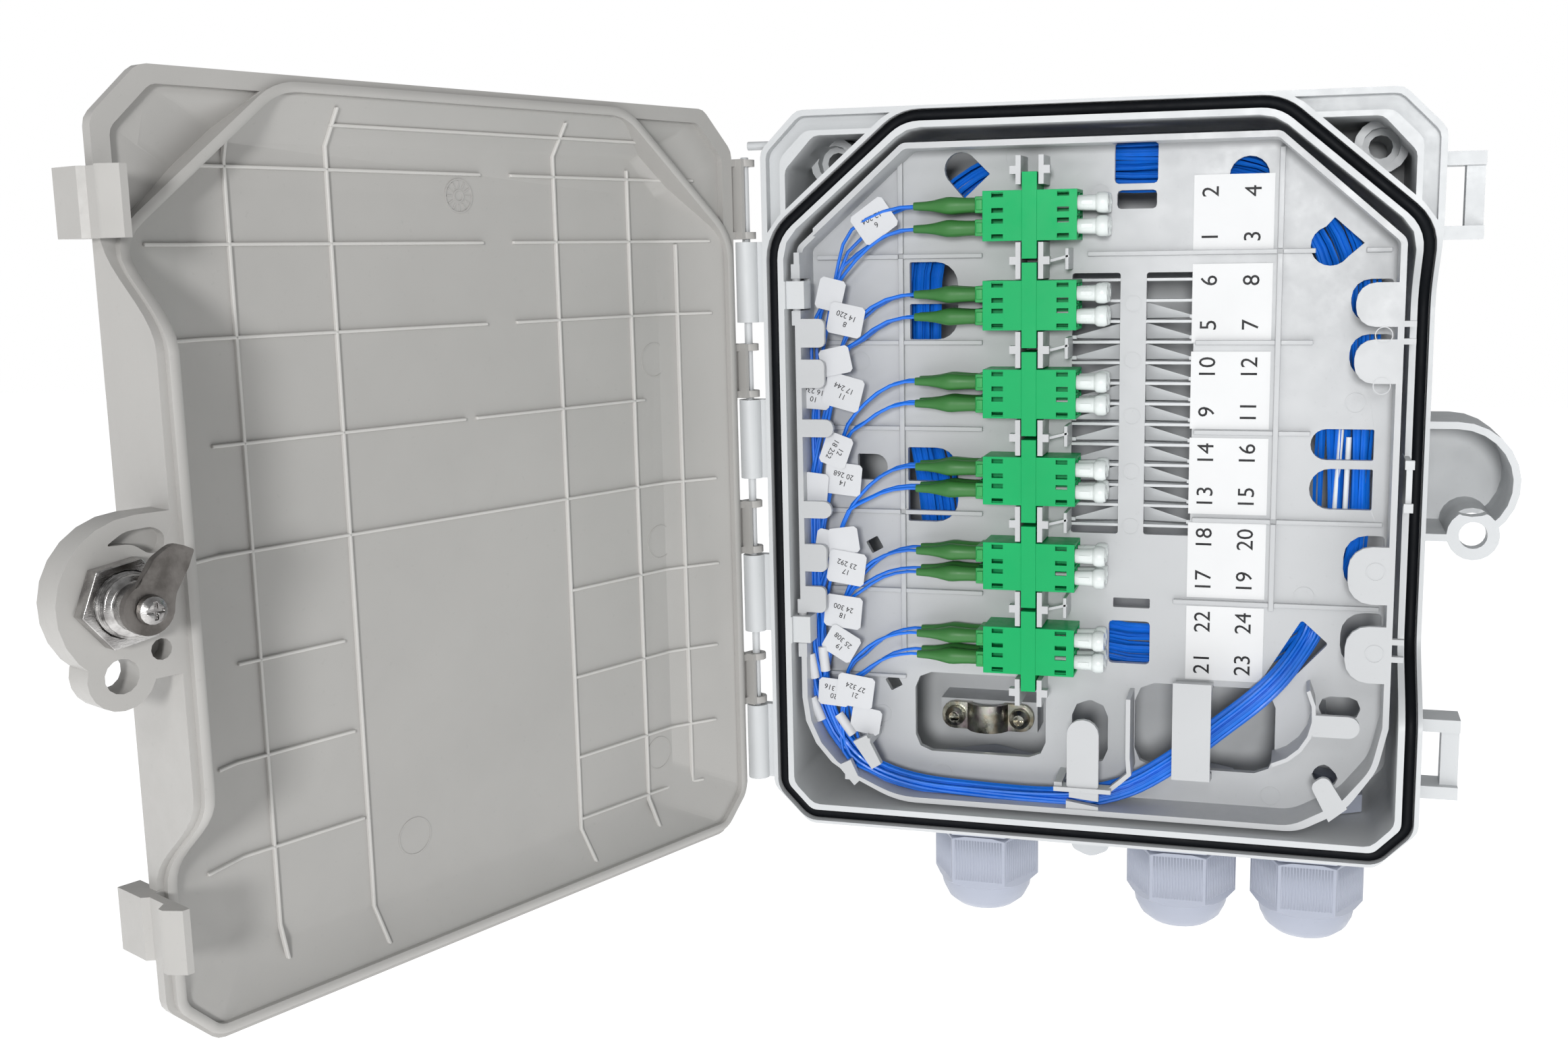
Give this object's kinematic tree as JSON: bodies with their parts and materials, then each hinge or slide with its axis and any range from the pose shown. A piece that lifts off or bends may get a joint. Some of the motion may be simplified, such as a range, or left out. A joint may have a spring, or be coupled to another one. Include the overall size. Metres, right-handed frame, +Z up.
{
  "type": "fiber termination box",
  "caption": "Wall-mounted fibre termination box, door open, with a swing tray of green LC adapters, blue pigtails and cable glands.",
  "frame": {"origin": "centre of the flat back of the box, on the wall plane", "axes": "+X to the latch side, +Y into the wall, +Z up; the open front faces -Y"},
  "size_m": [0.2728, 0.2362, 0.2225],
  "materials": {
    "housing_plastic": "light grey polycarbonate",
    "door_plastic": "light grey polycarbonate, slightly warmer",
    "tray_plastic": "light grey satin ABS",
    "seal_rubber": "black rubber",
    "gland_plastic": "bluish grey nylon",
    "lock_chrome": "chrome plated zinc",
    "zinc_steel": "zinc plated steel",
    "adapter_plastic": "green plastic",
    "plug_plastic": "dark green plastic boots",
    "cap_plastic": "translucent white plastic",
    "fibre_jacket": "blue 0.9 mm tight buffer"
  },
  "bodies": {
    "box": {"base_shell": "housing_plastic", "gasket": "seal_rubber", "hinge_pin": "housing_plastic", "clamp_saddle": "zinc_steel", "clamp_screw_1": "zinc_steel", "clamp_screw_2": "zinc_steel", "gland_body_1": "gland_plastic", "gland_locknut_1": "gland_plastic", "gland_body_2": "gland_plastic", "gland_locknut_2": "gland_plastic", "gland_body_3": "gland_plastic", "gland_locknut_3": "gland_plastic"},
    "door": {"door_shell": "door_plastic", "lock_barrel": "lock_chrome", "lock_nut": "lock_chrome"},
    "cam": {"cam_lever": "lock_chrome", "cam_screw": "lock_chrome"},
    "tray": {"swing_tray": "tray_plastic", "fibre_coil": "fibre_jacket", "pigtail_harness": "fibre_jacket", "lc_adapter_1": "adapter_plastic", "lc_adapter_2": "adapter_plastic", "lc_adapter_3": "adapter_plastic", "lc_adapter_4": "adapter_plastic", "lc_adapter_5": "adapter_plastic", "lc_adapter_6": "adapter_plastic", "lc_plug_1_front": "plug_plastic", "lc_plug_1_rear": "plug_plastic", "lc_plug_2_front": "plug_plastic", "lc_plug_2_rear": "plug_plastic", "lc_plug_3_front": "plug_plastic", "lc_plug_3_rear": "plug_plastic", "lc_plug_4_front": "plug_plastic", "lc_plug_4_rear": "plug_plastic", "lc_plug_5_front": "plug_plastic", "lc_plug_5_rear": "plug_plastic", "lc_plug_6_front": "plug_plastic", "lc_plug_6_rear": "plug_plastic"},
    "gland_1": {"gland_nut_1": "gland_plastic", "gland_seal_1": "seal_rubber"},
    "gland_2": {"gland_nut_2": "gland_plastic", "gland_seal_2": "seal_rubber"},
    "gland_3": {"gland_nut_3": "gland_plastic", "gland_seal_3": "seal_rubber"},
    "cap_1_front": {"dust_cap_1_front": "cap_plastic"},
    "cap_1_rear": {"dust_cap_1_rear": "cap_plastic"},
    "cap_2_front": {"dust_cap_2_front": "cap_plastic"},
    "cap_2_rear": {"dust_cap_2_rear": "cap_plastic"},
    "cap_3_front": {"dust_cap_3_front": "cap_plastic"},
    "cap_3_rear": {"dust_cap_3_rear": "cap_plastic"},
    "cap_4_front": {"dust_cap_4_front": "cap_plastic"},
    "cap_4_rear": {"dust_cap_4_rear": "cap_plastic"},
    "cap_5_front": {"dust_cap_5_front": "cap_plastic"},
    "cap_5_rear": {"dust_cap_5_rear": "cap_plastic"},
    "cap_6_front": {"dust_cap_6_front": "cap_plastic"},
    "cap_6_rear": {"dust_cap_6_rear": "cap_plastic"}
  },
  "joints": [
    {"name": "door_hinge", "type": "hinge", "parent": "box", "child": "door", "pos_m": [-0.0884, -0.0518, 0], "axis": [0, 0, -1], "range_deg": [-113.7, 51.3]},
    {"name": "cam_turn", "type": "hinge", "parent": "door", "child": "cam", "pos_m": [-0.1375, -0.23032, 0.0006], "axis": [0.9157, -0.4019, 0], "range_deg": [-58, 32]},
    {"name": "tray_swing", "type": "hinge", "parent": "box", "child": "tray", "pos_m": [-0.0762, -0.0476, 0], "axis": [0, 0, -1], "range_deg": [0, 95]},
    {"name": "gland_nut_1_turn", "type": "hinge", "parent": "box", "child": "gland_1", "pos_m": [-0.031, -0.0184, -0.11], "axis": [0, 0, 1], "continuous": true},
    {"name": "gland_nut_2_turn", "type": "hinge", "parent": "box", "child": "gland_2", "pos_m": [0.0242, -0.0184, -0.11], "axis": [0, 0, 1], "continuous": true},
    {"name": "gland_nut_3_turn", "type": "hinge", "parent": "box", "child": "gland_3", "pos_m": [0.0581, -0.0184, -0.11], "axis": [0, 0, 1], "continuous": true},
    {"name": "cap_1_front_pull", "type": "slide", "parent": "tray", "child": "cap_1_front", "axis": [1, 0, 0], "range_m": [0, 0.013]},
    {"name": "cap_1_rear_pull", "type": "slide", "parent": "tray", "child": "cap_1_rear", "axis": [1, 0, 0], "range_m": [0, 0.013]},
    {"name": "cap_2_front_pull", "type": "slide", "parent": "tray", "child": "cap_2_front", "axis": [1, 0, 0], "range_m": [0, 0.013]},
    {"name": "cap_2_rear_pull", "type": "slide", "parent": "tray", "child": "cap_2_rear", "axis": [1, 0, 0], "range_m": [0, 0.013]},
    {"name": "cap_3_front_pull", "type": "slide", "parent": "tray", "child": "cap_3_front", "axis": [1, 0, 0], "range_m": [0, 0.013]},
    {"name": "cap_3_rear_pull", "type": "slide", "parent": "tray", "child": "cap_3_rear", "axis": [1, 0, 0], "range_m": [0, 0.013]},
    {"name": "cap_4_front_pull", "type": "slide", "parent": "tray", "child": "cap_4_front", "axis": [1, 0, 0], "range_m": [0, 0.013]},
    {"name": "cap_4_rear_pull", "type": "slide", "parent": "tray", "child": "cap_4_rear", "axis": [1, 0, 0], "range_m": [0, 0.013]},
    {"name": "cap_5_front_pull", "type": "slide", "parent": "tray", "child": "cap_5_front", "axis": [1, 0, 0], "range_m": [0, 0.013]},
    {"name": "cap_5_rear_pull", "type": "slide", "parent": "tray", "child": "cap_5_rear", "axis": [1, 0, 0], "range_m": [0, 0.013]},
    {"name": "cap_6_front_pull", "type": "slide", "parent": "tray", "child": "cap_6_front", "axis": [1, 0, 0], "range_m": [0, 0.013]},
    {"name": "cap_6_rear_pull", "type": "slide", "parent": "tray", "child": "cap_6_rear", "axis": [1, 0, 0], "range_m": [0, 0.013]}
  ]
}
